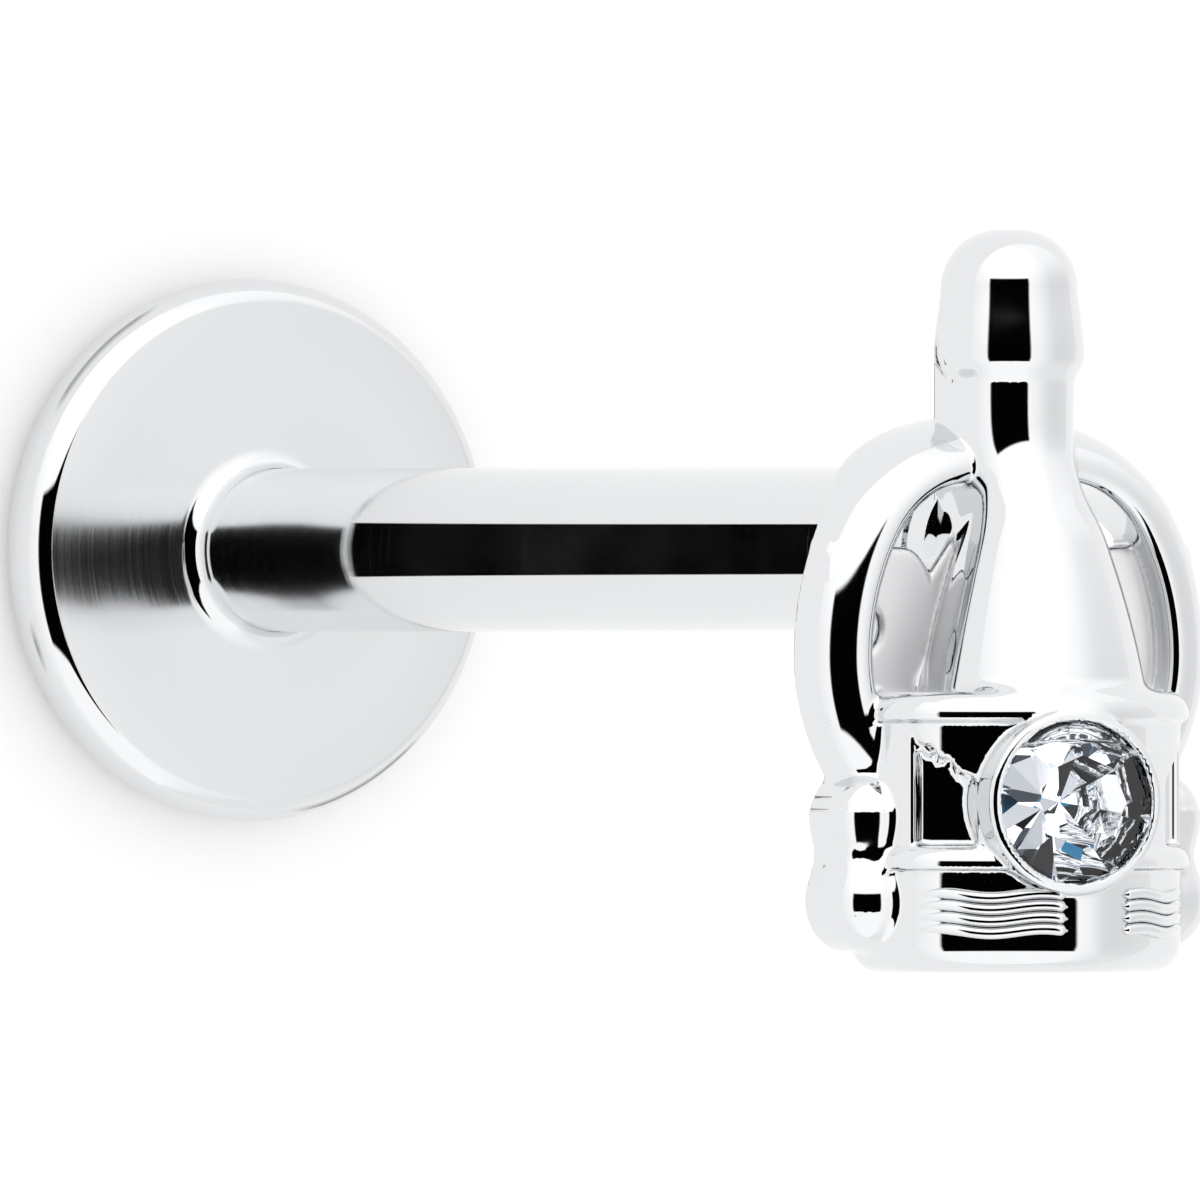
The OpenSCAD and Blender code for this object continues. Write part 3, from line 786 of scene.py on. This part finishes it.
# A simple brilliant with few, large facets: a round blank, sliced by planes
def cutStone():
    s = setting
    edge, step = s["girdle"] / 2, 2 * math.pi / s["facets"]
    flat = s["table"] * math.cos(step / 2)
    bm = bmesh.new()
    size = s["stone"]
    bmesh.ops.create_cone(bm, cap_ends=True, segments=64, radius1=size, radius2=size, depth=2 * size)

    def grind(point, normal):
        geom = bm.verts[:] + bm.edges[:] + bm.faces[:]
        bmesh.ops.bisect_plane(
            bm, geom=geom, dist=1e-6, plane_co=point, plane_no=normal, clear_outer=True)
        bmesh.ops.holes_fill(bm, edges=[e for e in bm.edges if e.is_boundary])

    # two crown facets and one pavilion facet for each turn: where it is, how wide, above or below
    kinds = ((0.5, size - flat, 1), (0, (size - flat) * 0.78, 1), (0.25, size, -1))
    grind((0, 0, edge + s["crown"]), (0, 0, 1))
    for i in range(s["facets"]):
        for shift, reach, way in kinds:
            a = (i + shift) * step
            steep = (s["crown"] if way > 0 else s["pavilion"]) / reach
            point = (math.cos(a) * size, math.sin(a) * size, way * edge)
            grind(point, (math.cos(a) * steep, math.sin(a) * steep, way))
    bmesh.ops.recalc_face_normals(bm, faces=bm.faces)
    t = math.radians(s["turn"])
    girdle = bucket["wall"] + s["out"] - s["crown"] / 2
    for v in bm.verts:
        u, w, along = v.co.x, v.co.y, v.co.z + girdle
        x = u * math.cos(t) - along * math.sin(t)
        z = bucket["depth"] + along * math.cos(t) + u * math.sin(t)
        v.co = Vector(toRow([[x, s["stoneY"] + w, z]])[0])
    mesh = bpy.data.meshes.new("brilliant")
    bm.to_mesh(mesh)
    bm.free()
    thing = bpy.data.objects.new("brilliant", mesh)
    bpy.context.scene.collection.objects.link(thing)
    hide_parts("stone")
    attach(thing, "root")
    print("stone", len(mesh.polygons), "facets")
    return thing


ground = {"half": 0.4, "colour": (0.93, 0.93, 0.93, 1), "paler": (0.95, 0.95, 0.95, 1)}


def paleFloor():
    h = ground["half"]
    points = np.array([[-h, -h, 0], [h, -h, 0], [h, h, 0], [-h, h, 0]])
    thing = makeMesh("floor", points, np.array([[0, 1, 2, 3]]))
    material, new, link, shader = newMaterial("paleFloor")
    place = new("ShaderNodeTexCoord").outputs["Object"]
    tone = mixColours(new, link, noise(new, link, place, 60, 2), ground["colour"], ground["paler"])
    link(tone, shader.inputs["Base Color"])
    shader.inputs["Roughness"].default_value = 0.9
    shader.inputs["Specular IOR Level"].default_value = 0.1
    thing.data.materials.append(material)
    return thing


# A flat strip round the post, just above the floor, with its sizes in mm
def floorStrip(name, turns, near, far, level):
    points, faces = [], []
    for i, a in enumerate(turns):
        points += [(r * math.sin(a) * mm, -r * math.cos(a) * mm, level * mm) for r in (near, far)]
        if i:
            faces.append([2 * i - 2, 2 * i - 1, 2 * i + 1, 2 * i])
    return makeMesh(name, np.array(points), np.array(faces))


# The card and the flags are there for the metal's reflections alone.
def onlyInMirrors(thing):
    thing.visible_camera = False
    thing.visible_diffuse = False
    thing.visible_shadow = False
    thing.visible_transmission = False


# A dark card lies on the floor in front of the stud: turns in degrees, distances in mm.
card = {"half": 33.5, "near": 2.2, "far": 6.6, "tone": 0.001, "slant": 0.143}


def darkCard():
    turns = np.radians(np.linspace(-card["half"], card["half"], 24))
    thing = floorStrip("dark_card", turns, card["near"], card["far"], 0.01)
    material, new, link, shader = newMaterial("darkCard")
    shader.inputs["Base Color"].default_value = (card["tone"],) * 3 + (1,)
    shader.inputs["Roughness"].default_value = 1
    shader.inputs["Specular IOR Level"].default_value = 0
    # it is dark only at the slant that the post's front sees it at
    facing = new("ShaderNodeLayerWeight")
    facing.inputs["Blend"].default_value = 0.5
    off = maths(new, link, "SUBTRACT", facing.outputs["Facing"], card["slant"])
    clear = spread(new, link, maths(new, link, "ABSOLUTE", off, 0), 0.012, 0.017, 0, 1)
    coverWith(material, clear, shader, new("ShaderNodeBsdfTransparent"))
    thing.data.materials.append(material)
    onlyInMirrors(thing)
    return thing


# Dark strips on the floor all round stand in for black flags. Only the post sees them, at a low slant
# and between two heights: strips in degrees, distances and heights in mm.
flags = {
    "near": 2.3, "far": 380.0, "strips": ((-70, -38), (20, 28), (112, 140)), "soft": 3, "tone": 0.03,
    "from": (0.7, 1.3), "to": (10.3, 10.5), "slant": (0.42, 0.54),
}


def darkFlags():
    turns = np.radians(np.linspace(0, 360, 97))
    thing = floorStrip("dark_flags", turns, flags["near"], flags["far"], 0.02)
    material, new, link, shader = newMaterial("darkFlags")
    shader.inputs["Base Color"].default_value = (flags["tone"],) * 3 + (1,)
    shader.inputs["Roughness"].default_value = 1
    shader.inputs["Specular IOR Level"].default_value = 0
    split = new("ShaderNodeSeparateXYZ")
    place = new("ShaderNodeTexCoord").outputs["Object"]
    link(place, split.inputs[0])
    forward = maths(new, link, "MULTIPLY", split.outputs[1], -1)
    around = maths(new, link, "ARCTAN2", split.outputs[0], forward)
    dark = 0
    soft = flags["soft"]
    for start, end in flags["strips"]:
        first = spread(new, link, around, math.radians(start - soft), math.radians(start + soft), 0, 1)
        last = spread(new, link, around, math.radians(end - soft), math.radians(end + soft), 1, 0)
        dark = maths(new, link, "ADD", maths(new, link, "MULTIPLY", first, last), dark)
    facing = new("ShaderNodeLayerWeight")
    facing.inputs["Blend"].default_value = 0.5
    low = spread(new, link, facing.outputs["Facing"], *flags["slant"], 0, 1)
    # distance and slant give the height on the post that the strip is seen from
    far = new("ShaderNodeVectorMath")
    far.operation = "LENGTH"
    link(place, far.inputs[0])
    rise = maths(new, link, "SUBTRACT", 1, facing.outputs["Facing"])
    run = maths(new, link, "SUBTRACT", 1, maths(new, link, "MULTIPLY", rise, rise))
    run = maths(new, link, "POWER", run, 0.5)
    away = maths(new, link, "SUBTRACT", far.outputs["Value"], stud["post"] * mm)
    height = maths(new, link, "MULTIPLY", away, maths(new, link, "DIVIDE", rise, run))
    above = spread(new, link, height, *(h * mm for h in flags["from"]), 0, 1)
    below = spread(new, link, height, *(h * mm for h in flags["to"]), 1, 0)
    onPost = maths(new, link, "MULTIPLY", above, below)
    seen = maths(new, link, "MULTIPLY", maths(new, link, "MULTIPLY", dark, low), onPost)
    coverWith(material, seen, new("ShaderNodeBsdfTransparent"), shader)
    thing.data.materials.append(material)
    onlyInMirrors(thing)
    return thing


# The photo looks at the post 31 degrees off square, with the bottle's top upwards.
viewTurn = math.radians(31)
towardCamera = Vector((0, -math.sin(viewTurn), math.cos(viewTurn)))
pictureRight = Vector((0, math.cos(viewTurn), math.sin(viewTurn)))
pictureUp = Vector((-1, 0, 0))

# Brightness of the tent's parts, and the dark opening's edges in degrees from the camera's direction
studio = {
    "grey": 1.03, "white": 1.4, "dark": 0.001, "floorLight": 1.46,
    "besideGlow": 0.22, "topGlow": 0.25, "rightShade": -0.12,
    "darkSide": 33.5, "darkTop": 17.8, "darkFoot": -30.0,
}
# What the cut stone sees of the tent: where each tone starts in the noise, and the tone itself
seams = {
    0.0: (1.6, 1.6, 1.6, 1), 0.39: (0.75, 0.77, 0.8, 1), 0.425: (0.02, 0.02, 0.02, 1),
    0.462: (0.02, 0.2, 0.38, 1), 0.482: (1.5, 1.55, 1.6, 1), 0.54: (0.6, 0.62, 0.65, 1),
    0.585: (1.7, 1.7, 1.7, 1), 0.66: (0.04, 0.05, 0.07, 1),
}
seamScale = 2.4


# A white tent with one dark opening, where the camera looks in
def studioLight():
    world = bpy.data.worlds.new("studio")
    bpy.context.scene.world = world
    world.use_nodes = True
    world.cycles.sampling_method = "NONE"
    tree = world.node_tree
    tree.nodes.clear()
    new, link = tree.nodes.new, tree.links.new
    way = new("ShaderNodeTexCoord").outputs["Generated"]

    def along(direction):
        node = new("ShaderNodeVectorMath")
        node.operation = "DOT_PRODUCT"
        node.inputs[1].default_value = direction
        link(way, node.inputs[0])
        return node.outputs["Value"]

    def times(a, b):
        return maths(new, link, "MULTIPLY", a, b)

    d = math.radians
    front, right, up = along(towardCamera), along(pictureRight), along(pictureUp)
    side = maths(new, link, "ARCTAN2", right, front)
    rise = maths(new, link, "ARCSINE", up, 0)

    def between(value, start, end, soft):
        first = spread(new, link, value, d(start - soft), d(start + soft), 0, 1)
        last = spread(new, link, value, d(end - soft), d(end + soft), 1, 0)
        return times(first, last)

    across = between(side, -studio["darkSide"], studio["darkSide"], 1.5)
    opening = times(across, between(rise, studio["darkFoot"], studio["darkTop"], 1))
    # brighter beside the opening and from the picture's upper side, greyer on its far right
    beside = maths(new, link, "ABSOLUTE", side, 0)
    beside = spread(new, link, beside, d(34), d(75), studio["besideGlow"], 0)
    top = spread(new, link, up, 0.1, 0.9, 0, studio["topGlow"])
    greyer = spread(new, link, right, 0.75, 1.0, 0, studio["rightShade"])
    tent = maths(new, link, "ADD", greyer, studio["grey"])
    tent = maths(new, link, "ADD", maths(new, link, "ADD", beside, top), tent)
    tent = maths(new, link, "MINIMUM", tent, studio["white"])
    glow = maths(new, link, "ADD", times(tent, maths(new, link, "SUBTRACT", 1, opening)), studio["dark"])
    seen = new("ShaderNodeBackground")
    seen.inputs["Color"].default_value = (1, 1, 1, 1)
    link(glow, seen.inputs["Strength"])
    # the tent's seams and frames, which only the cut stone picks out
    tint = new("ShaderNodeValToRGB")
    tint.color_ramp.interpolation = "CONSTANT"
    stops = tint.color_ramp.elements
    for place, colour in seams.items():
        stop = stops[0] if place == 0 else stops.new(place)
        stop.color = colour
    stops.remove(stops[-1])
    link(noise(new, link, way, seamScale, 0), tint.inputs["Fac"])
    sparkle = new("ShaderNodeBackground")
    link(tint.outputs["Color"], sparkle.inputs["Color"])
    path = new("ShaderNodeLightPath")
    inStone = maths(new, link, "GREATER_THAN", path.outputs["Transmission Depth"], 0.5)
    mirrored = mixShaders(new, link, inStone, seen, sparkle)
    plain = new("ShaderNodeBackground")
    plain.inputs["Strength"].default_value = studio["floorLight"]
    straight = maths(new, link, "MAXIMUM", path.outputs["Is Camera Ray"], path.outputs["Is Diffuse Ray"])
    whole = mixShaders(new, link, straight, mirrored, plain)
    link(whole.outputs[0], new("ShaderNodeOutputWorld").inputs["Surface"])


# The photo's picture is 8.73 mm wide at the stud. A very long lens keeps it nearly flat, as there.
shot = {"wide": 8.727, "lens": 1600.0, "sensor": 36, "centre": (0.367, 2.10, 1.81), "middle": 5.0}


def makeCamera():
    data = bpy.data.cameras.new("camera")
    data.lens = shot["lens"]
    data.sensor_width = shot["sensor"]
    camera = bpy.data.objects.new("camera", data)
    bpy.context.scene.collection.objects.link(camera)
    centre = Vector(shot["centre"])
    centre += towardCamera * (shot["middle"] - centre.dot(towardCamera))
    away = shot["wide"] * shot["lens"] / shot["sensor"]
    camera.location = (centre + towardCamera * away) * mm
    axes = Matrix((pictureRight, pictureUp, towardCamera)).transposed()
    camera.rotation_mode = "QUATERNION"
    camera.rotation_quaternion = axes.to_quaternion()
    data.clip_start, data.clip_end = 0.05, 5
    bpy.context.scene.camera = camera


bpy.context.scene.view_settings.view_transform = "Standard"
steelLook, castLook, stoneLook = polishedSteel(), castMetal(), clearStone()

post = discAndPost()
post.data.materials.append(steelLook)
boss = bossAndPin()
boss.data.materials.append(castLook)
grid = 0.0265
charm = castPiece("bottle_in_bucket", charmSolid, (-1.75, -3.1, -0.25), (1.75, 2.36, 1.66), grid)
charm.data.materials.append(castLook)
wallRibs(castLook)
gemPiece = cutStone()
gemPiece.data.materials.append(stoneLook)
print("pieces made")

paleFloor()
darkCard()
darkFlags()
studioLight()
makeCamera()
